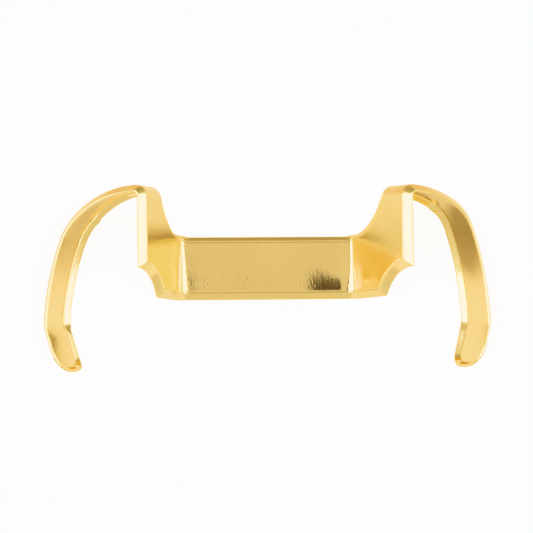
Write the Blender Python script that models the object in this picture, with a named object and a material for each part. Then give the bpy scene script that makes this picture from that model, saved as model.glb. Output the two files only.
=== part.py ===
"""One-piece saxophone ligature: a folded, gold-plated strip with two hook-shaped spring arms.

Metres, +Z up. The object lies on its back: the reed plate faces +Z, its long way is X and the
hooks hang toward -Y. The strip is drawn flat in (u, v), given a turned-back rim all round,
parted at its bends, then folded and bent into place.
"""
import math

import bmesh
import bpy
from mathutils import Matrix, Vector

MM = 0.001

# ---- driving dimensions, millimetres and degrees -------------------------------------------------
SHEET = 0.25            # sheet thickness
PLATE_HALF = 6.45       # plate centre to the start of each fold
FOLD_ANGLE = 59.5       # how far each wing is folded toward the front
FOLD_RADIUS = 0.45      # front-face radius of the fold
PLATE_EDGE = 2.03       # half height of the flat plate face, rims not counted
NECK_OUTER = 12.84      # flat-pattern u of the neck and arm face, outer edge
NECK_INNER = 10.20      # flat-pattern u of the neck and arm face, inner edge
FILLET = 4.10           # concave fillet from the plate's top edge up into the neck
SLOPE_START = 6.90      # flat-pattern u where the lower edge starts to rise toward the wing corner
WING_CORNER = (9.78, -1.91)   # lower wing corner of the flat face
CUT_MIDDLE = (10.72, -0.66)   # point on the concave cut under the neck
WING_TIP = (12.82, 0.24)      # where the cut meets the neck's outer edge
NECK_START = 0.51       # v where the neck's straight outer edge starts
RIM = ((0.11, 0.035), (0.27, 0.17), (0.47, 0.42))   # rim steps: outward, back
TIP_OUTER = 1.35        # rounding of the arm tip, outer corner
TIP_INNER = 0.75        # rounding of the arm tip, inner corner
BEND_START = 5.26       # v at which the neck starts to bend back
PART_GAP = 0.26         # gap left between neighbouring nodes
# Bends of the arm, one after another: sweep in degrees, length in millimetres.
ARM_BENDS = (
    (91.5, 1.48),
    (28.5, 4.36),
    (37.5, 3.20),
    (15.5, 5.80),
    (4.0, 1.20),
    (19.5, 0.75),
    (3.0, 3.05),
)
ARM_STEP = 0.40         # greatest spacing of the cuts that let the arm bend
ARM_SWEEP_STEP = 9.0    # greatest bend between two of those cuts, degrees
ARM_KEEP = 8.0          # flat-pattern u beyond which the strip belongs to an arm
FOLD_SLICES = 6         # flats round each fold
MITRE_LIMIT = 0.6       # keeps the rim's outer corners from running to long points
GOLD = (0.83, 0.56, 0.22, 1.0)

ARM_LENGTH = sum(length for sweep, length in ARM_BENDS)
FOLD = math.radians(FOLD_ANGLE)
FOLD_ARC = FOLD * FOLD_RADIUS


def arc_between(start, middle, end, count):
    """Points on the circle through three points, both ends included."""
    ax, ay = start
    bx, by = middle
    cx, cy = end
    d = 2.0 * (ax * (by - cy) + bx * (cy - ay) + cx * (ay - by))
    a2 = ax * ax + ay * ay
    b2 = bx * bx + by * by
    c2 = cx * cx + cy * cy
    ox = (a2 * (by - cy) + b2 * (cy - ay) + c2 * (ay - by)) / d
    oy = (a2 * (cx - bx) + b2 * (ax - cx) + c2 * (bx - ax)) / d
    radius = math.hypot(ax - ox, ay - oy)
    first = math.atan2(ay - oy, ax - ox)
    last = math.atan2(cy - oy, cx - ox)
    if last > first:
        last -= 2.0 * math.pi
    points = []
    for i in range(count + 1):
        angle = first + (last - first) * i / count
        points.append((ox + radius * math.cos(angle), oy + radius * math.sin(angle)))
    return points


def arc_about(centre, radius, first, last, count):
    """Points on an arc given by its centre, both ends included."""
    points = []
    for i in range(count + 1):
        angle = math.radians(first + (last - first) * i / count)
        points.append((centre[0] + radius * math.cos(angle), centre[1] + radius * math.sin(angle)))
    return points


def right_outline():
    """Right half of the flat face, from the bottom centre round to the top centre."""
    top = BEND_START + ARM_LENGTH
    points = [(0.0, -PLATE_EDGE), (SLOPE_START, -PLATE_EDGE)]
    points += arc_between(WING_CORNER, CUT_MIDDLE, WING_TIP, 9)
    points += [(NECK_OUTER, NECK_START)]
    points += arc_about((NECK_OUTER - TIP_OUTER, top - TIP_OUTER), TIP_OUTER, 0.0, 90.0, 8)
    points += arc_about((NECK_INNER + TIP_INNER, top - TIP_INNER), TIP_INNER, 90.0, 180.0, 6)
    points += arc_about((NECK_INNER - FILLET, PLATE_EDGE + FILLET), FILLET, 0.0, -90.0, 12)
    points += [(0.0, PLATE_EDGE)]
    return points


def arm_point(length):
    """Place on the arm's front face: reach, height and travel direction at a length."""
    reach = 0.0
    height = BEND_START
    angle = math.radians(90.0)
    left = length
    for sweep, span in ARM_BENDS:
        run = min(left, span)
        bend = math.radians(sweep) / span
        turned = bend * run
        reach += (math.sin(angle) - math.sin(angle - turned)) / bend
        height += (math.cos(angle - turned) - math.cos(angle)) / bend
        angle -= turned
        left -= run
        if left <= 0.0:
            break
    if left > 0.0:
        reach += left * math.cos(angle)
        height += left * math.sin(angle)
    return reach, height, angle


def fold(u, v, back):
    """Flat pattern (u, v) at a depth behind the front face, to the folded shape, in millimetres."""
    side = 1.0 if u >= 0.0 else -1.0
    u = abs(u)
    if v > BEND_START and u > PLATE_HALF + FOLD_ARC:
        reach, height, angle = arm_point(v - BEND_START)
        depth = reach + back * math.sin(angle)
        height = height - back * math.cos(angle)
    else:
        depth = back
        height = v
    if u <= PLATE_HALF:
        return side * u, height, -depth
    turned = min((u - PLATE_HALF) / FOLD_RADIUS, FOLD)
    past = max(u - PLATE_HALF - FOLD_ARC, 0.0)
    ring = FOLD_RADIUS + depth
    x = PLATE_HALF + ring * math.sin(turned) + past * math.cos(FOLD)
    z = FOLD_RADIUS - ring * math.cos(turned) + past * math.sin(FOLD)
    return side * x, height, z


def flat_strip():
    """The whole strip as a flat sheet with its rim; the height of a vertex is minus its depth."""
    half = right_outline()
    left = [(-u, v) for u, v in reversed(half[1:-1])]
    bm = bmesh.new()
    loop = [bm.verts.new((u, v, 0.0)) for u, v in half + left]
    face = bm.faces.new(loop)
    face.normal_update()
    if face.normal.z < 0.0:
        face.normal_flip()
    ring = list(loop)
    count = len(ring)
    before_out = 0.0
    for out, back in RIM:
        step = out - before_out
        moved = []
        for i, vert in enumerate(ring):
            ahead = (ring[(i + 1) % count].co - vert.co).to_2d().normalized()
            behind = (vert.co - ring[i - 1].co).to_2d().normalized()
            n1 = Vector((ahead.y, -ahead.x))
            n2 = Vector((behind.y, -behind.x))
            mitre = (n1 + n2).normalized()
            mitre = mitre / max(mitre.dot(n1), MITRE_LIMIT)
            moved.append((vert.co.x + mitre.x * step, vert.co.y + mitre.y * step, -back))
        outer = [bm.verts.new(co) for co in moved]
        for i in range(count):
            j = (i + 1) % count
            bm.faces.new((ring[i], outer[i], outer[j], ring[j]))
        ring = outer
        before_out = out
    bmesh.ops.recalc_face_normals(bm, faces=bm.faces)
    bm.faces.ensure_lookup_table()
    if bm.faces[0].normal.z < 0.0:
        bmesh.ops.reverse_faces(bm, faces=bm.faces)
    return bm


def cut(bm, place, normal, clear=False):
    """Bisect everything on a plane; with clear, what lies on the normal's side is thrown away."""
    geometry = list(bm.verts) + list(bm.edges) + list(bm.faces)
    bmesh.ops.bisect_plane(
        bm,
        geom=geometry,
        dist=1e-6,
        plane_co=place,
        plane_no=normal,
        clear_outer=clear,
        clear_inner=False,
    )


def make_panel(name, keep, slices, joint=None):
    """Part one panel out of the flat strip, slice it for bending, fold it and give it thickness."""
    bm = flat_strip()
    for place, normal in keep:
        cut(bm, place, normal, clear=True)
    for place, normal in slices:
        cut(bm, place, normal)
    bmesh.ops.triangulate(bm, faces=[f for f in bm.faces if len(f.verts) > 4])
    for vert in bm.verts:
        x, y, z = fold(vert.co.x, vert.co.y, -vert.co.z)
        vert.co = Vector((x, y, z)) * MM
    origin = Vector((0.0, 0.0, 0.0))
    if joint is not None:
        origin = Vector(joint)
        bmesh.ops.transform(bm, matrix=Matrix.Translation(-origin), verts=bm.verts)
    mesh = bpy.data.meshes.new(name)
    bm.to_mesh(mesh)
    bm.free()
    obj = bpy.data.objects.new(name, mesh)
    obj.location = origin
    bpy.context.scene.collection.objects.link(obj)
    skin = obj.modifiers.new("sheet", "SOLIDIFY")
    skin.thickness = SHEET * MM
    skin.offset = -1.0
    skin.use_even_offset = True
    skin.use_rim = True
    mesh.materials.append(gold_material(name + "_gold"))
    return obj


def gold_material(name):
    """Plain gold plate, one material per node."""
    mat = bpy.data.materials.new(name)
    mat.use_nodes = True
    shader = mat.node_tree.nodes["Principled BSDF"]
    shader.inputs["Base Color"].default_value = GOLD
    shader.inputs["Metallic"].default_value = 1.0
    shader.inputs["Roughness"].default_value = 0.22
    return mat


def stand_on_floor(objects):
    """Move everything so that the bottom centre of the overall box is the row's origin."""
    bpy.context.view_layer.update()
    depsgraph = bpy.context.evaluated_depsgraph_get()
    low = Vector((1.0, 1.0, 1.0))
    high = Vector((-1.0, -1.0, -1.0))
    for obj in objects:
        solid = obj.evaluated_get(depsgraph)
        for vert in solid.to_mesh().vertices:
            place = obj.matrix_world @ vert.co
            low = Vector([min(a, b) for a, b in zip(low, place)])
            high = Vector([max(a, b) for a, b in zip(high, place)])
        solid.to_mesh_clear()
    shift = Vector((-0.5 * (low.x + high.x), -0.5 * (low.y + high.y), -low.z))
    for obj in objects:
        obj.location = obj.location + shift
    return shift


for old in list(bpy.data.objects):
    bpy.data.objects.remove(old, do_unlink=True)

plate_end = PLATE_HALF - PART_GAP
gap_low = BEND_START - PART_GAP
X = Vector((1.0, 0.0, 0.0))
Y = Vector((0.0, 1.0, 0.0))

panels = []
panel = make_panel(
    "reed_plate",
    [((plate_end, 0.0, 0.0), X), ((-plate_end, 0.0, 0.0), -X)],
    [],
)
panels.append(panel)
for side, label in ((-1.0, "left"), (1.0, "right")):
    outward = X * side
    fold_cuts = []
    for i in range(1, FOLD_SLICES + 1):
        fold_cuts.append(((side * (PLATE_HALF + FOLD_ARC * i / FOLD_SLICES), 0.0, 0.0), outward))
    panel = make_panel(
        label + "_wing",
        [((side * PLATE_HALF, 0.0, 0.0), -outward), ((0.0, gap_low, 0.0), Y)],
        fold_cuts,
    )
    panels.append(panel)
    arm_cuts = []
    reached = 0.0
    for sweep, span in ARM_BENDS:
        pieces = max(int(math.ceil(span / ARM_STEP)), int(math.ceil(sweep / ARM_SWEEP_STEP)))
        for i in range(1, pieces + 1):
            arm_cuts.append(((0.0, BEND_START + reached + span * i / pieces, 0.0), Y))
        reached += span
    hinge_u = 0.5 * (NECK_OUTER + NECK_INNER)
    hx, hy, hz = fold(side * hinge_u, BEND_START - 0.5 * PART_GAP, 0.5 * SHEET)
    panel = make_panel(
        label + "_spring_arm",
        [((side * ARM_KEEP, 0.0, 0.0), -outward), ((0.0, BEND_START, 0.0), -Y)],
        arm_cuts,
        joint=(hx * MM, hy * MM, hz * MM),
    )
    panels.append(panel)

SHIFT = stand_on_floor(panels)
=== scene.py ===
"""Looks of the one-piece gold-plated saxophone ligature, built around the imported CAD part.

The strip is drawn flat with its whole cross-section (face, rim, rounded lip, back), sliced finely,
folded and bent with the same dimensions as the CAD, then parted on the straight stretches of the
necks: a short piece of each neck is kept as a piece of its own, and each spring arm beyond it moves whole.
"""
import math

import bmesh
import bpy
from mathutils import Matrix, Vector, noise


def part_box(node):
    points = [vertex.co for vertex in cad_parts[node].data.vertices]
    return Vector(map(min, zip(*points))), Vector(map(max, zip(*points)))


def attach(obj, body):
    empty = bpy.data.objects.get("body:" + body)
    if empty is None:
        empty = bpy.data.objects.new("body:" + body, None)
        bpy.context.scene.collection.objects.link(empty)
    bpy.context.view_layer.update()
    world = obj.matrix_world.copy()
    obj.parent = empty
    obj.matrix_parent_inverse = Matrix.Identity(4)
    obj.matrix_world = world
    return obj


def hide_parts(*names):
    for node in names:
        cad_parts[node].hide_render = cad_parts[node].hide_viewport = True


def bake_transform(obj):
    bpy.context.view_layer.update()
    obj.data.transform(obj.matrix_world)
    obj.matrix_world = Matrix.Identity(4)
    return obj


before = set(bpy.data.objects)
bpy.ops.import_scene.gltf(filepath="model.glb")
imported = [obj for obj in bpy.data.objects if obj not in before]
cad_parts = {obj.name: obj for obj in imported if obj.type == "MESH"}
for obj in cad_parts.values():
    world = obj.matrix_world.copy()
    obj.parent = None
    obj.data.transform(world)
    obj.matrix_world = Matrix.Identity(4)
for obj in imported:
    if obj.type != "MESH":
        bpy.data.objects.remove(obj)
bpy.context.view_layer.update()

MM = 0.001

# ---- dimensions shared with the CAD, millimetres and degrees ---------------------------------------
SHEET = 0.25
PLATE_HALF = 6.45
FOLD_ANGLE = 59.5
FOLD_RADIUS = 0.45
PLATE_EDGE = 2.03
NECK_OUTER = 12.84
NECK_INNER = 10.20
FILLET = 4.10
SLOPE_START = 6.90
WING_CORNER = (9.78, -1.91)
CUT_MIDDLE = (10.72, -0.66)
WING_TIP = (12.82, 0.24)
TIP_OUTER = 1.35
TIP_INNER = 0.75
BEND_START = 5.26
# Bends of each arm as it was bent by hand, one after another: sweep in degrees, length in millimetres.
LEFT_BENDS = (
    (91.5, 1.48),
    (31.0, 4.36),
    (25.5, 2.90),
    (9.5, 0.60),
    (15.5, 5.50),
    (4.0, 1.20),
    (19.5, 0.75),
    (3.0, 3.05),
)
RIGHT_BENDS = (
    (91.5, 1.48),
    (25.0, 4.42),
    (35.0, 2.50),
    (6.0, 0.60),
    (15.5, 5.99),
    (4.0, 1.20),
    (18.5, 0.75),
    (3.0, 2.90),
)
ARM_LENGTH = sum(length for sweep, length in LEFT_BENDS)
FOLD = math.radians(FOLD_ANGLE)
# Where the plate's and the wing's front faces would meet if folded sharp, counted along each of them.
FOLD_LINE = PLATE_HALF + FOLD_RADIUS * math.tan(0.5 * FOLD)
WING_START = PLATE_HALF + FOLD_RADIUS * (FOLD - math.tan(0.5 * FOLD))

# ---- dimensions of the finish, millimetres ----------------------------------------------------------
RIM_START = -0.08        # where the rim leaves the flat face, outward from the CAD's face outline
RIM_OUT = 0.465          # how far the rim reaches outward
RIM_BACK = 0.490         # and back
RIM_CREASE = 38.0        # slope of the rim where it leaves the face, degrees
TOP_NARROW = 0.20        # how much narrower the rim is along the plate's top edge
NARROW_START = 0.6       # share of the fillet's turn after which the rim narrows toward that edge
FILLET_FULL = 0.33       # how much fuller than a quarter circle the fillets are at their middle
CREASE_RADIUS = 0.10     # front radius of that crease
LIP_RADIUS = 0.10        # rounding of the sheet's cut edge
HEEL = ((0.035, 0.006), (0.075, 0.0))    # inward and back: where the rim's back runs into the back face
HEEL_CLEAR = 0.02        # the rim's back starts this far behind the back face
SLOPE_ROUND = 0.5        # how far each way the bottom edge turns softly into the wing's slope
CORNER_TURN = 0.07       # the same at the sharp corners of the wing's cut,
CORNER_GROWTH = 0.30     # and how much it grows with each millimetre outward
DISH_START = 1.8         # u where the plate's face starts to rise toward a fold
DISH_WIDTH = 2.8         # u over which that slope grows
DISH_END = 5.50          # u where it starts to level out again
DISH_END_WIDTH = 0.40
DISH_TOP = 0.25          # share of that slope at the plate's top edge, growing to 1 at its bottom edge
DISH_FADE = 1.6          # v over which the share grows, either side of the middle
DISH_GONE = 5.0          # v on the necks by which the slope's lift has faded out
DISH_SLOPE = {-1.0: 0.022, 1.0: 0.112}   # greatest slope, at the left and at the right fold
CROWN = 0.014            # how much the face falls off toward its long edges, per millimetre squared
WAVE_DEPTH = 0.007       # unevenness of the sheet
WAVE_SCALE = 0.42        # and its noise scale, per millimetre
FINE_WAVE = 2.3          # how much finer the second, half as deep, unevenness is
WAVE_SLICE = 3.7         # where the noise is sliced
KINK = BEND_START + ARM_LENGTH - 3.40    # v of the last bend, above the foot
KINK_REACH = 0.8         # v either side of it over which the foot takes its own twist
TWIST = {-1.0: 5.0, 1.0: -3.5}           # how far each arm is twisted toward the front, degrees
TWIST_FIRST = BEND_START + 3.0           # v over which the twist grows
TWIST_LAST = BEND_START + 9.0
FOOT_TWIST = {-1.0: 6.0, 1.0: 3.5}       # and its foot beyond that
RIM_FLAT = {-1.0: 0.50, 1.0: 0.10}       # share by which the foot's inner rim is pressed flatter
RIM_FLAT_FIRST = KINK - 0.3              # v over which that share grows
RIM_FLAT_LAST = KINK + 0.5
RIM_FLAT_SPREAD = 0.6    # how much of its width a flattened rim gives back
CRIMP = {-1.0: 12.3, 1.0: 11.7}          # v of the dent where each arm's inner rim buckled in bending
CRIMP_DEPTH = 0.10
CRIMP_SIZE = 0.32
CRIMP_INSET = 0.15       # how far outside the inner crease the dent lies
GROOVE_WIDTH = 0.14      # groove pressed along the inside of the crease
GROOVE_DEPTH = 0.042
TOP_FLAT = 0.40          # share by which the rim along the plate's top edge is pressed flatter
TOP_FLAT_FIRST = NECK_INNER - FILLET - 0.3    # u over which that flattening ends, round the fillet's foot
TOP_FLAT_LAST = NECK_INNER - FILLET + 1.2
SEAM = 4.50              # v on the neck where the middle piece meets the neck's own piece
FOLD_SHIFT = {-1.0: 0.10, 1.0: -0.08}    # how far each fold lies outward of its place in the CAD
FOLD_TOP = 2.2           # v where a fold's radius starts to grow, downward
FOLD_HEIGHT = 4.4        # and the height over which it does
# Radius of each fold at its top, how much it grows to its bottom, and the power of that growth.
FOLD_OPENING = {-1.0: (0.45, 0.75, 1.0), 1.0: (0.30, 0.85, 2.0)}
NECK_SIDE = 8.0          # any point above the fillets with a greater u is on a neck or an arm

# ---- slices, millimetres ---------------------------------------------------------------------------
GRID = 0.24              # spacing over the whole strip
GRID_OFFSET = 0.013      # keeps the slices across the strip off the outline's own points
FOLD_FIRST = 5.62        # u of the first closer slice at a fold
FOLD_GRID = 0.09         # their spacing
FOLD_SLICES = 22         # and their number
LOWEST_SLICE = -2.4      # v
SHOULDER_GRID = 0.10     # closer slices round the shoulder, from BEND_START
SHOULDER_LENGTH = 1.7
ARM_GRID = 0.15          # and along the arm beyond it
GROOVE_STEPS = 6
CREASE_STEPS = 3
RIM_STEPS = 7
LIP_STEPS = 4
SLOPE_STEPS = 4
CORNER_STEPS = 5
CUT_STEPS = 26
TIP_OUTER_STEPS = 18
TIP_INNER_STEPS = 14
FILLET_STEPS = 30
WELD = 0.00001           # points closer to a slice than this lie on it


def circle_through(a, b, c):
    """Centre and radius of the circle through three points."""
    d = 2.0 * (a[0] * (b[1] - c[1]) + b[0] * (c[1] - a[1]) + c[0] * (a[1] - b[1]))
    a2 = a[0] ** 2 + a[1] ** 2
    b2 = b[0] ** 2 + b[1] ** 2
    c2 = c[0] ** 2 + c[1] ** 2
    x = (a2 * (b[1] - c[1]) + b2 * (c[1] - a[1]) + c2 * (a[1] - b[1])) / d
    y = (a2 * (c[0] - b[0]) + b2 * (a[0] - c[0]) + c2 * (b[0] - a[0])) / d
    return (x, y), math.hypot(a[0] - x, a[1] - y)


def arc(centre, radius, first, last, count):
    """Points on an arc, angles in radians, both ends included."""
    points = []
    for i in range(count + 1):
        angle = first + (last - first) * i / count
        points.append((centre[0] + radius * math.cos(angle), centre[1] + radius * math.sin(angle)))
    return points


def round_corner(before, corner, after, count):
    """A smooth turn from one point to another round a corner."""
    points = []
    for i in range(count + 1):
        t = i / count
        x = (1 - t) ** 2 * before[0] + 2 * t * (1 - t) * corner[0] + t * t * after[0]
        y = (1 - t) ** 2 * before[1] + 2 * t * (1 - t) * corner[1] + t * t * after[1]
        points.append((x, y))
    return points


def ease(value, first, last):
    """Smooth share from 0 at first to 1 at last."""
    t = min(max((value - first) / (last - first), 0.0), 1.0)
    return t * t * (3.0 - 2.0 * t)


def outline(out):
    """Right half of the strip's outline, moved outward by out, always with the same point count."""
    top = BEND_START + ARM_LENGTH
    low = -(PLATE_EDGE + out)
    slope_start = (SLOPE_START, -PLATE_EDGE)
    run = Vector((WING_CORNER[0] - slope_start[0], WING_CORNER[1] - slope_start[1])).normalized()
    away = Vector((run.y, -run.x))
    on_slope = Vector(slope_start) + away * out
    centre, radius = circle_through(WING_CORNER, CUT_MIDDLE, WING_TIP)
    radius -= out
    turn = CORNER_TURN + CORNER_GROWTH * max(out, 0.0)
    # lower wing corner: the sloped edge meets the concave cut
    rel = on_slope - Vector(centre)
    b = rel.dot(run)
    c = rel.dot(rel) - radius * radius
    corner1 = on_slope + run * (-b - math.sqrt(b * b - c))
    start = math.atan2(corner1.y - centre[1], corner1.x - centre[0])
    # wing tip: the cut meets the neck's outer edge
    edge = NECK_OUTER + out
    dx = edge - centre[0]
    end = math.atan2(math.sqrt(radius * radius - dx * dx), dx)
    corner2 = (edge, centre[1] + radius * math.sin(end))
    if start < 0.0:
        start += 2.0 * math.pi
    step = turn / radius
    cut_points = arc(centre, radius, start - step, end + step, CUT_STEPS)
    bend = round_corner(on_slope - run * SLOPE_ROUND, on_slope, on_slope + run * SLOPE_ROUND, SLOPE_STEPS)
    points = [(0.0, low), (bend[0][0], low)]
    points += bend[1:]
    points += round_corner(corner1 - run * turn, corner1, cut_points[0], CORNER_STEPS)
    points += cut_points[1:-1]
    points += round_corner(cut_points[-1], corner2, (edge, corner2[1] + turn), CORNER_STEPS)
    half = 0.5 * math.pi
    tip = (NECK_OUTER - TIP_OUTER, top - TIP_OUTER)
    points += arc(tip, TIP_OUTER + out, 0.0, half, TIP_OUTER_STEPS)
    tip = (NECK_INNER + TIP_INNER, top - TIP_INNER)
    points += arc(tip, TIP_INNER + out, half, math.pi, TIP_INNER_STEPS)
    narrow = TOP_NARROW * min(max((RIM_OUT - out) / (RIM_OUT - RIM_START), 0.0), 1.0)
    centre = (NECK_INNER - FILLET, PLATE_EDGE + FILLET)
    for i in range(FILLET_STEPS + 1):
        t = i / FILLET_STEPS
        spread = FILLET - out - narrow * ease(t, NARROW_START, 1.0)
        spread -= FILLET_FULL * math.sin(math.pi * t)
        points.append((centre[0] + spread * math.cos(half * t), centre[1] - spread * math.sin(half * t)))
    points += [(0.0, PLATE_EDGE + out + narrow)]
    return points


def section():
    """Cross-section of the edge as (outward, back) pairs, from the front face round to the back face."""
    run = RIM_OUT - RIM_START
    chord = math.atan2(RIM_BACK, run)
    first = math.radians(RIM_CREASE)
    last = 2.0 * chord - first
    spread = math.hypot(run, RIM_BACK) / (2.0 * math.sin(0.5 * (last - first)))
    bottom = Vector((RIM_START - spread * math.sin(first), spread * math.cos(first)))
    points = []
    # groove along the inside of the crease between face and rim
    reach = CREASE_RADIUS * math.tan(0.5 * first)
    groove = RIM_START - reach - GROOVE_WIDTH
    for i in range(GROOVE_STEPS):
        share = i / GROOVE_STEPS
        depth = 0.5 * GROOVE_DEPTH * (1.0 - math.cos(2.0 * math.pi * share))
        points.append(Vector((groove + GROOVE_WIDTH * share, depth)))
    # the crease itself
    for i in range(CREASE_STEPS + 1):
        angle = first * i / CREASE_STEPS
        offset = Vector((math.sin(angle), 1.0 - math.cos(angle))) * CREASE_RADIUS
        points.append(Vector((RIM_START - reach, 0.0)) + offset)
    # the rim curls back a little more toward its lip
    lip = LIP_RADIUS / spread
    for i in range(1, RIM_STEPS + 1):
        angle = first + (last - lip - first) * i / RIM_STEPS
        points.append(bottom + Vector((math.sin(angle), -math.cos(angle))) * spread)
    along = Vector((math.cos(last), math.sin(last)))
    inward = Vector((-math.sin(last), math.cos(last)))
    edge = Vector((RIM_OUT, RIM_BACK))
    rear = edge + inward * SHEET
    centre = edge - along * LIP_RADIUS + inward * LIP_RADIUS
    for i in range(1, LIP_STEPS + 1):
        angle = 0.5 * math.pi * i / LIP_STEPS
        points.append(centre - inward * LIP_RADIUS * math.cos(angle) + along * LIP_RADIUS * math.sin(angle))
    centre = rear - along * LIP_RADIUS - inward * LIP_RADIUS
    for i in range(LIP_STEPS + 1):
        angle = 0.5 * math.pi * i / LIP_STEPS
        points.append(centre + along * LIP_RADIUS * math.cos(angle) + inward * LIP_RADIUS * math.sin(angle))
    # back of the rim, parallel to its front, down to the back face
    for i in range(RIM_STEPS, 0, -1):
        angle = first + (last - lip - first) * i / RIM_STEPS
        place = bottom + Vector((math.sin(angle), -math.cos(angle))) * (spread - SHEET)
        if place.y > SHEET + HEEL_CLEAR:
            points.append(place)
    for inset, back in HEEL:
        points.append(Vector((RIM_START - inset, SHEET + back)))
    return points


def arm_point(side, length):
    """Place on the arm's front face: reach, height and travel direction at a length."""
    bends = LEFT_BENDS if side < 0.0 else RIGHT_BENDS
    reach = 0.0
    height = BEND_START
    angle = math.radians(90.0)
    remaining = length
    for sweep, span in bends:
        run = min(remaining, span)
        bend = math.radians(sweep) / span
        turned = bend * run
        reach += (math.sin(angle) - math.sin(angle - turned)) / bend
        height += (math.cos(angle - turned) - math.cos(angle)) / bend
        angle -= turned
        remaining -= run
        if remaining <= 0.0:
            break
    if remaining > 0.0:
        reach += remaining * math.cos(angle)
        height += remaining * math.sin(angle)
    return reach, height, angle


def fold_radius(side, v):
    """Each fold opens from the plate's top edge to its bottom edge, the left one more."""
    t = min(max((FOLD_TOP - v) / FOLD_HEIGHT, 0.0), 1.0)
    radius, growth, power = FOLD_OPENING[side]
    return radius + growth * t ** power


def ramp(u, start, width):
    """Height of a ramp whose slope grows smoothly from 0 to 1 over a width."""
    t = min(max((u - start) / width, 0.0), 1.0)
    return width * (t ** 3 - 0.5 * t ** 4) + max(u - start - width, 0.0)


def spring_back(side, u, v):
    """Rise of the face toward the folds, where the sheet starts to bend early and levels out again."""
    u = min(u, FOLD_LINE)
    rise = ramp(u, DISH_START, DISH_WIDTH) - ramp(u, DISH_END, DISH_END_WIDTH)
    share = DISH_TOP + (1.0 - DISH_TOP) * ease(-v, -DISH_FADE, DISH_FADE)
    crown = -CROWN * min(abs(v), PLATE_EDGE) ** 2
    return (DISH_SLOPE[side] * rise * share + crown) * (1.0 - ease(v, PLATE_EDGE, DISH_GONE))


def waviness(u, v):
    """Slight unevenness of hand-worked sheet, in millimetres of depth."""
    place = Vector((u * WAVE_SCALE, v * WAVE_SCALE, WAVE_SLICE))
    return WAVE_DEPTH * (noise.noise(place) + 0.5 * noise.noise(place * FINE_WAVE))


def pressed_top(u, v, back):
    """The rim along the plate's top edge is pressed flatter than the others."""
    past_edge = v - PLATE_EDGE - TOP_NARROW - RIM_START
    if past_edge <= 0.0 or u >= TOP_FLAT_LAST:
        return back
    share = TOP_FLAT * (1.0 - ease(u, TOP_FLAT_FIRST, TOP_FLAT_LAST))
    return back - share * RIM_BACK * min(past_edge / (RIM_OUT - RIM_START - TOP_NARROW), 1.0)


def hand_bent(side, u, v, back):
    """The arms were bent by hand: each is twisted and dented, and its foot's inner rim pressed flatter."""
    past_edge = NECK_INNER - RIM_START - u
    flat = RIM_FLAT[side] * ease(v, RIM_FLAT_FIRST, RIM_FLAT_LAST)
    if past_edge > 0.0:
        back -= flat * RIM_BACK * min(past_edge / (RIM_OUT - RIM_START), 1.0)
        u += flat * RIM_FLAT_SPREAD * past_edge
    miss = ((u - NECK_INNER + CRIMP_INSET) ** 2 + (v - CRIMP[side]) ** 2) / CRIMP_SIZE ** 2
    back += CRIMP_DEPTH * math.exp(-miss)
    twist = TWIST[side] * ease(v, TWIST_FIRST, TWIST_LAST)
    twist += FOOT_TWIST[side] * ease(v, KINK - KINK_REACH, KINK + KINK_REACH)
    twist = math.radians(twist)
    pivot = NECK_OUTER + RIM_OUT
    across = u - pivot
    u = pivot + across * math.cos(twist) + back * math.sin(twist)
    back = back * math.cos(twist) - across * math.sin(twist)
    return u, back


def fold(u, v, back):
    """Flat pattern at a depth behind the front face, to the folded shape, in millimetres."""
    side = 1.0 if u >= 0.0 else -1.0
    back += waviness(u, v)
    u = abs(u)
    lift = spring_back(side, u, v)
    back = pressed_top(u, v, back)
    if v > BEND_START and u > NECK_SIDE:
        u, back = hand_bent(side, u, v, back)
        reach, height, angle = arm_point(side, v - BEND_START)
        depth = reach + back * math.sin(angle)
        height = height - back * math.cos(angle)
    else:
        depth = back
        height = v
    radius = fold_radius(side, v)
    tangent = radius * math.tan(0.5 * FOLD)
    first = FOLD_LINE + FOLD_SHIFT[side] - tangent
    last = WING_START + FOLD_SHIFT[side] + tangent
    if u <= first:
        return side * u, height, lift - depth
    turned = min((u - first) / (last - first), 1.0) * FOLD
    past = max(u - last, 0.0)
    ring = radius + depth
    x = first + ring * math.sin(turned) + past * math.cos(FOLD)
    z = lift + radius - ring * math.cos(turned) + past * math.sin(FOLD)
    return side * x, height, z


def slices():
    """Planes that cut the flat strip, as (point, normal): closer together where it bends more."""
    across = int((NECK_OUTER + RIM_OUT) / GRID)
    cuts_u = [i * GRID + GRID_OFFSET for i in range(-across, across + 1)]
    for side in (-1.0, 1.0):
        cuts_u += [side * (FOLD_FIRST + i * FOLD_GRID) for i in range(FOLD_SLICES)]
    cuts_v = []
    v = LOWEST_SLICE
    while v < BEND_START + ARM_LENGTH + RIM_OUT:
        cuts_v.append(v)
        if v <= BEND_START - SHOULDER_GRID:
            v += GRID
        elif v < BEND_START + SHOULDER_LENGTH:
            v += SHOULDER_GRID
        else:
            v += ARM_GRID
    cuts_v += [SEAM, BEND_START]
    planes = [((u, 0.0, 0.0), (1.0, 0.0, 0.0)) for u in cuts_u]
    planes += [((0.0, v, 0.0), (0.0, 1.0, 0.0)) for v in cuts_v]
    return planes


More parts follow.
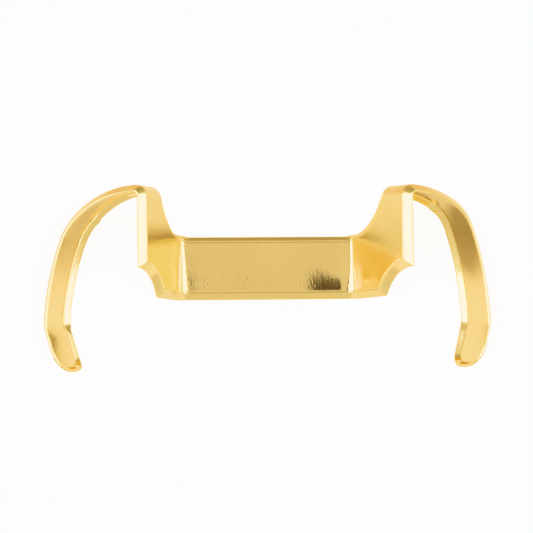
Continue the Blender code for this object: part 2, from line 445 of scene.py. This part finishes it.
def sliced_strip():
    """The whole strip, flat and closed, cut finely enough to bend smoothly."""
    bm = bmesh.new()
    rings = []
    for out, back in section():
        half = outline(out)
        points = half + [(-u, v) for u, v in reversed(half[1:-1])]
        rings.append([bm.verts.new((u, v, -back)) for u, v in points])
    count = len(rings[0])
    for inner, outer in zip(rings, rings[1:]):
        for i in range(count):
            j = (i + 1) % count
            face = bm.faces.new((inner[i], outer[i], outer[j], inner[j]))
            face.material_index = 1
    front = bm.faces.new(rings[0])
    back = bm.faces.new(list(reversed(rings[-1])))
    front.material_index = 0
    back.material_index = 0
    bm.normal_update()
    if front.normal.z < 0.0:
        bmesh.ops.reverse_faces(bm, faces=bm.faces)
    for place, normal in slices():
        geometry = list(bm.verts) + list(bm.edges) + list(bm.faces)
        bmesh.ops.bisect_plane(bm, geom=geometry, dist=WELD, plane_co=place, plane_no=normal)
    return bm


GOLD_PALE = (0.985, 0.825, 0.395, 1.0)
GOLD_DEEP = (0.91, 0.725, 0.305, 1.0)
MOTTLE_SCALE = 420.0                     # noise scales, per metre
GRAIN_SCALE = 6400.0
GRAIN_STRETCH = (1.0, 0.4, 0.9)          # the grain runs along Y, the way the sheet was drawn
GRAIN_HEIGHT = 0.00002                   # metres


def gold(name, roughness, grain):
    """Gold plate: slightly mottled colour and roughness, with a fine grain."""
    mat = bpy.data.materials.new(name)
    mat.use_nodes = True
    nodes = mat.node_tree.nodes
    links = mat.node_tree.links
    shader = nodes["Principled BSDF"]
    shader.inputs["Metallic"].default_value = 1.0
    shader.inputs["Coat Weight"].default_value = 0.25
    shader.inputs["Coat Roughness"].default_value = 0.35
    shader.inputs["Coat IOR"].default_value = 1.6
    place = nodes.new("ShaderNodeTexCoord")
    broad = nodes.new("ShaderNodeTexNoise")
    broad.inputs["Scale"].default_value = MOTTLE_SCALE
    broad.inputs["Detail"].default_value = 4.0
    broad.inputs["Roughness"].default_value = 0.55
    links.new(place.outputs["Object"], broad.inputs["Vector"])
    tint = nodes.new("ShaderNodeMix")
    tint.data_type = "RGBA"
    tint.inputs["A"].default_value = GOLD_PALE
    tint.inputs["B"].default_value = GOLD_DEEP
    links.new(tint.outputs["Result"], shader.inputs["Base Color"])
    fine = nodes.new("ShaderNodeTexNoise")
    fine.inputs["Scale"].default_value = GRAIN_SCALE
    fine.inputs["Detail"].default_value = 2.0
    drawn = nodes.new("ShaderNodeMapping")
    drawn.inputs["Scale"].default_value = GRAIN_STRETCH
    links.new(place.outputs["Object"], drawn.inputs["Vector"])
    links.new(drawn.outputs["Vector"], fine.inputs["Vector"])
    mottle = nodes.new("ShaderNodeMix")
    mottle.inputs["Factor"].default_value = 0.5
    links.new(broad.outputs["Fac"], mottle.inputs["A"])
    links.new(fine.outputs["Fac"], mottle.inputs["B"])
    links.new(mottle.outputs["Result"], tint.inputs["Factor"])
    rough = nodes.new("ShaderNodeMapRange")
    rough.inputs["From Min"].default_value = 0.3
    rough.inputs["From Max"].default_value = 0.7
    rough.inputs["To Min"].default_value = roughness - 0.03
    rough.inputs["To Max"].default_value = roughness + 0.04
    links.new(broad.outputs["Fac"], rough.inputs["Value"])
    links.new(rough.outputs["Result"], shader.inputs["Roughness"])
    bump = nodes.new("ShaderNodeBump")
    bump.inputs["Strength"].default_value = grain
    bump.inputs["Distance"].default_value = GRAIN_HEIGHT
    links.new(fine.outputs["Fac"], bump.inputs["Height"])
    links.new(bump.outputs["Normal"], shader.inputs["Normal"])
    return mat


FACE_GOLD = gold("gold_face", 0.11, 0.32)
RIM_GOLD = gold("gold_rim", 0.11, 0.15)

plate_low, plate_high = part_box("reed_plate")
HOME = Vector((0.0, 0.5 * (plate_low.y + plate_high.y), plate_high.z))


def corner_normals(bm):
    """Smooth normal of every vertex, before the strip is parted, so that no seam shows."""
    bm.normal_update()
    bm.verts.index_update()
    bm.verts.ensure_lookup_table()
    weights = [Vector((0.0, 0.0, 0.0)) for v in bm.verts]
    for face in bm.faces:
        area = face.calc_area()
        for corner in face.loops:
            weights[corner.vert.index] += face.normal * area * corner.calc_angle()
    return [w.normalized() for w in weights]


def parted(bm, flat):
    """The faces of each piece: the middle, and on each side the neck piece and the arm beyond it."""
    groups = {"middle": [], "left_neck": [], "right_neck": [], "left_arm": [], "right_arm": []}
    for face in bm.faces:
        centre = sum((v[flat] for v in face.verts), Vector()) / len(face.verts)
        hand = "right" if centre.x > 0.0 else "left"
        if abs(centre.x) < NECK_SIDE or centre.y < SEAM:
            groups["middle"].append(face)
        elif centre.y < BEND_START:
            groups[hand + "_neck"].append(face)
        else:
            groups[hand + "_arm"].append(face)
    return groups


def piece(name, faces, normals):
    """One object made of some of the strip's faces."""
    used = {}
    points = []
    polygons = []
    kinds = []
    shading = []
    for face in faces:
        polygon = []
        for vert in face.verts:
            if vert.index not in used:
                used[vert.index] = len(points)
                points.append(vert.co[:])
                shading.append(normals[vert.index][:])
            polygon.append(used[vert.index])
        polygons.append(polygon)
        kinds.append(face.material_index)
    mesh = bpy.data.meshes.new(name)
    mesh.from_pydata(points, [], polygons)
    mesh.materials.append(FACE_GOLD)
    mesh.materials.append(RIM_GOLD)
    mesh.polygons.foreach_set("material_index", kinds)
    mesh.polygons.foreach_set("use_smooth", [True] * len(polygons))
    mesh.update()
    mesh.normals_split_custom_set_from_vertices(shading)
    obj = bpy.data.objects.new(name, mesh)
    bpy.context.scene.collection.objects.link(obj)
    return obj


def build_pieces():
    """Folds the sliced strip and parts it."""
    bm = sliced_strip()
    flat = bm.verts.layers.float_vector.new("flat")
    many = [f for f in bm.faces if len(f.verts) > 4]
    bmesh.ops.triangulate(bm, faces=many)
    for vert in bm.verts:
        u, v, w = vert.co
        vert[flat] = (u, v, w)
        x, y, z = fold(u, v, -w)
        vert.co = HOME + Vector((x, y, z)) * MM
    normals = corner_normals(bm)
    made = {name: piece(name, faces, normals) for name, faces in parted(bm, flat).items()}
    bm.free()
    return made


pieces = build_pieces()
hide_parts("reed_plate", "left_wing", "right_wing")
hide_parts("left_spring_arm")
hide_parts("right_spring_arm")
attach(pieces["middle"], "strip")
for side, hand in ((-1.0, "left"), (1.0, "right")):
    body = hand + "_arm"
    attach(pieces[body], body)
    u = side * 0.5 * (NECK_OUTER + NECK_INNER)
    start = HOME + Vector(fold(u, SEAM, 0.0)) * MM
    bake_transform(pieces[hand + "_neck"])


# ---- studio ---------------------------------------------------------------------------------------
STAGE_SIZE = 3.0                         # metres
FLOOR_WHITE = (0.95, 0.95, 0.94, 1.0)
FLOOR_GLOW = 1.5                         # keeps the floor as pale as white paper under the lights
FLOOR_LIFT = 0.00001                     # metres between the seen floor and the reflected one
# Tone of the floor the metal sees: painted shade, dimmer and warmer than the white floor the camera sees.
REFLECTED_FLOOR_SHADE = (0.43, 0.37, 0.27, 1.0)
# Painted shadows on the reflected floor, oldest underneath: a darker far side behind the necks, dimming
# round the object, its contact shadow under the plate and under
# each wing. Columns: centre, stretch along X, the two radii of the fade in millimetres, and the tone.
FLOOR_PAINTED_SHADOWS = (
    ((0.0, 3000.0), 1.0, 2985.0, 2993.0, (0.28, 0.20, 0.11, 1.0)),
    ((0.0, 0.0), 1.0, 6.0, 13.0, (0.32, 0.27, 0.185, 1.0)),
    ((0.0, 0.9), 3.0, 2.6, 4.4, (0.17, 0.115, 0.045, 1.0)),
    ((12.2, 1.2), 1.0, 1.3, 3.3, (0.20, 0.155, 0.105, 1.0)),
    ((-11.6, 1.6), 1.0, 1.0, 4.0, (0.30, 0.245, 0.175, 1.0)),
)
SKY_TOP = (0.83, 0.705, 0.53, 1.0)       # overhead, warm
SKY_SIDE = (1.04, 1.01, 0.84, 1.0)       # low on the left and right, cooler
SKY_BEHIND = (0.52, 0.43, 0.28, 1.0)     # low behind the necks
SKY_FRONT = (0.86, 0.76, 0.58, 1.0)      # low in front of the feet
SIDE_FADE = (0.17, 0.62)                 # where each of the last three comes in, by its direction
BEHIND_FADE = (0.25, 0.90)
FRONT_FADE = (-0.25, -0.70)
SOFTBOX_TINT = (0.96, 1.0, 1.10)


def plain(name, colour, roughness):
    """A dull material of one colour."""
    mat = bpy.data.materials.new(name)
    mat.use_nodes = True
    shader = mat.node_tree.nodes["Principled BSDF"]
    shader.inputs["Base Color"].default_value = colour
    shader.inputs["Roughness"].default_value = roughness
    shader.inputs["Specular IOR Level"].default_value = 0.2
    return mat


def flat_square(name, size, mat):
    """A level square of the stage, centred on the origin."""
    mesh = bpy.data.meshes.new(name)
    s = 0.5 * size
    mesh.from_pydata([(-s, -s, 0.0), (s, -s, 0.0), (s, s, 0.0), (-s, s, 0.0)], [], [(0, 1, 2, 3)])
    mesh.materials.append(mat)
    obj = bpy.data.objects.new(name, mesh)
    bpy.context.scene.collection.objects.link(obj)
    return obj


def fade(tree, value, first, last):
    """Node output that goes smoothly from 0 to 1 as a value goes from first to last."""
    node = tree.nodes.new("ShaderNodeMapRange")
    node.interpolation_type = "SMOOTHSTEP"
    node.inputs["From Min"].default_value = first
    node.inputs["From Max"].default_value = last
    tree.links.new(value, node.inputs["Value"])
    return node.outputs["Result"]


def laid_over(tree, under, over, factor):
    """Node output of one colour laid over another, which is a colour or a node output itself."""
    node = tree.nodes.new("ShaderNodeMix")
    node.data_type = "RGBA"
    if isinstance(under, tuple):
        node.inputs["A"].default_value = under
    else:
        tree.links.new(under, node.inputs["A"])
    node.inputs["B"].default_value = over
    tree.links.new(factor, node.inputs["Factor"])
    return node.outputs["Result"]


def white_floor():
    """The floor as the camera sees it."""
    mat = plain("floor_white", FLOOR_WHITE, 0.7)
    shader = mat.node_tree.nodes["Principled BSDF"]
    shader.inputs["Emission Color"].default_value = (1.0, 1.0, 1.0, 1.0)
    shader.inputs["Emission Strength"].default_value = FLOOR_GLOW
    return mat


def painted_shade_floor():
    """The floor as the metal sees it: painted shade, a dim warm tone, with painted shadows darkest close
    under the object.
    """
    mat = plain("floor_painted_shade", REFLECTED_FLOOR_SHADE, 0.7)
    tree = mat.node_tree
    place = tree.nodes.new("ShaderNodeTexCoord")
    colour = REFLECTED_FLOOR_SHADE
    # each painted shadow darkens the reflected floor toward its tone inside its radii
    for centre, stretch, inner, outer, shade in FLOOR_PAINTED_SHADOWS:
        squeeze = tree.nodes.new("ShaderNodeVectorMath")
        squeeze.operation = "MULTIPLY"
        squeeze.inputs[1].default_value = (1.0 / stretch, 1.0, 0.0)
        tree.links.new(place.outputs["Object"], squeeze.inputs[0])
        distance = tree.nodes.new("ShaderNodeVectorMath")
        distance.operation = "DISTANCE"
        distance.inputs[1].default_value = (centre[0] * MM / stretch, centre[1] * MM, 0.0)
        tree.links.new(squeeze.outputs["Vector"], distance.inputs[0])
        inside = fade(tree, distance.outputs["Value"], outer * MM, inner * MM)
        colour = laid_over(tree, colour, shade, inside)
    tree.links.new(colour, tree.nodes["Principled BSDF"].inputs["Base Color"])
    return mat


def surroundings():
    """The studio round the object, a different tone each way."""
    world = bpy.data.worlds.new("studio")
    bpy.context.scene.world = world
    world.use_nodes = True
    tree = world.node_tree
    heading = tree.nodes.new("ShaderNodeTexCoord")
    parts = tree.nodes.new("ShaderNodeSeparateXYZ")
    tree.links.new(heading.outputs["Generated"], parts.inputs["Vector"])
    sideways = tree.nodes.new("ShaderNodeMath")
    sideways.operation = "ABSOLUTE"
    tree.links.new(parts.outputs["X"], sideways.inputs[0])
    colour = laid_over(tree, SKY_TOP, SKY_SIDE, fade(tree, sideways.outputs["Value"], *SIDE_FADE))
    colour = laid_over(tree, colour, SKY_BEHIND, fade(tree, parts.outputs["Y"], *BEHIND_FADE))
    colour = laid_over(tree, colour, SKY_FRONT, fade(tree, parts.outputs["Y"], *FRONT_FADE))
    tree.links.new(colour, tree.nodes["Background"].inputs["Color"])


def aimed(direction):
    """Rotation that points an object's -Z back along a direction."""
    return (-direction).to_track_quat("-Z", "Y").to_matrix().to_4x4()


floor = flat_square("floor", STAGE_SIZE, white_floor())
floor.visible_glossy = False
# The floor seen only in the metal's reflections, hidden from the camera: its colour holds painted shade and
# painted shadows.
mirrored = flat_square("floor_in_reflections", STAGE_SIZE, painted_shade_floor())
mirrored.location.z = FLOOR_LIFT
mirrored.visible_shadow = False
mirrored.visible_camera = False
mirrored.visible_diffuse = False
surroundings()


def softbox(name, across, along, distance, width, height, power):
    """An area light at two tilts from the vertical in degrees, aimed at the object."""
    across = math.radians(across)
    along = math.radians(along)
    direction = Vector((math.sin(across), math.sin(along), math.cos(across) * math.cos(along))).normalized()
    data = bpy.data.lights.new(name, "AREA")
    data.shape = "RECTANGLE"
    data.size = height
    data.size_y = width
    data.energy = power
    data.color = SOFTBOX_TINT
    lamp = bpy.data.objects.new(name, data)
    bpy.context.scene.collection.objects.link(lamp)
    lamp.matrix_world = Matrix.Translation(HOME + direction * distance) @ aimed(direction)
    return lamp


softbox("key_left", -35.5, 2.0, 0.60, 0.40, 0.44, 5.8)
softbox("key_right", 35.5, 2.0, 0.60, 0.30, 0.44, 3.2)
fill = softbox("fill", 0.0, -10.0, 0.90, 0.9, 0.9, 13.0)
fill.visible_glossy = False

# ---- camera ---------------------------------------------------------------------------------------
CAMERA_LEFT = 7.6        # degrees off the plate's normal, toward the left arm
CAMERA_DOWN = 2.35       # degrees off the normal, toward the arm tips
CAMERA_ROLL = -0.67
CAMERA_AWAY = 0.1941     # metres
CAMERA_OFF = (-0.000116, 0.000132)       # metres right and up of the line to the plate's middle
CAMERA_LENS = 168.9
cam_data = bpy.data.cameras.new("camera")
cam_data.lens = CAMERA_LENS
cam_data.sensor_width = 36.0
cam_data.clip_start = 0.005
cam_data.clip_end = 10.0
camera = bpy.data.objects.new("camera", cam_data)
bpy.context.scene.collection.objects.link(camera)
sideways = math.radians(CAMERA_LEFT)
downward = math.radians(CAMERA_DOWN)
toward = Vector((
    -math.sin(sideways) * math.cos(downward),
    -math.sin(downward),
    math.cos(sideways) * math.cos(downward),
))
right = Vector((0.0, 1.0, 0.0)).cross(toward).normalized()
up = toward.cross(right)
roll = math.radians(CAMERA_ROLL)
right, up = right * math.cos(roll) + up * math.sin(roll), up * math.cos(roll) - right * math.sin(roll)
turn = Matrix((right, up, toward)).transposed().to_4x4()
eye = HOME + toward * CAMERA_AWAY + right * CAMERA_OFF[0] + up * CAMERA_OFF[1]
camera.matrix_world = Matrix.Translation(eye) @ turn
bpy.context.scene.camera = camera

# The photographer's lens: a dark round card with a soft edge, seen only in reflections.
LENS_RADIUS = 0.037
LENS_CORE = 0.80         # share of the radius that is fully dark
LENS_AWAY = 0.18
LENS_POINTS = 48


def lens_black():
    """Dark in the middle, fading out to the card's edge."""
    mat = plain("lens_black", (0.02, 0.011, 0.003, 1.0), 0.9)
    tree = mat.node_tree
    place = tree.nodes.new("ShaderNodeTexCoord")
    distance = tree.nodes.new("ShaderNodeVectorMath")
    distance.operation = "LENGTH"
    tree.links.new(place.outputs["Object"], distance.inputs[0])
    dark = fade(tree, distance.outputs["Value"], LENS_RADIUS, LENS_RADIUS * LENS_CORE)
    tree.links.new(dark, tree.nodes["Principled BSDF"].inputs["Alpha"])
    return mat


card = bpy.data.meshes.new("lens_card")
last_angle = 2.0 * math.pi * (LENS_POINTS - 1) / LENS_POINTS
ring = arc((0.0, 0.0), LENS_RADIUS, 0.0, last_angle, LENS_POINTS - 1)
card.from_pydata([(x, y, 0.0) for x, y in ring], [], [list(range(LENS_POINTS))])
card.materials.append(lens_black())
lens_card = bpy.data.objects.new("lens_card", card)
bpy.context.scene.collection.objects.link(lens_card)
lens_card.matrix_world = Matrix.Translation(HOME + toward * LENS_AWAY) @ turn
lens_card.visible_camera = False
lens_card.visible_diffuse = False
lens_card.visible_shadow = False

bpy.context.scene.view_settings.view_transform = "Khronos PBR Neutral"
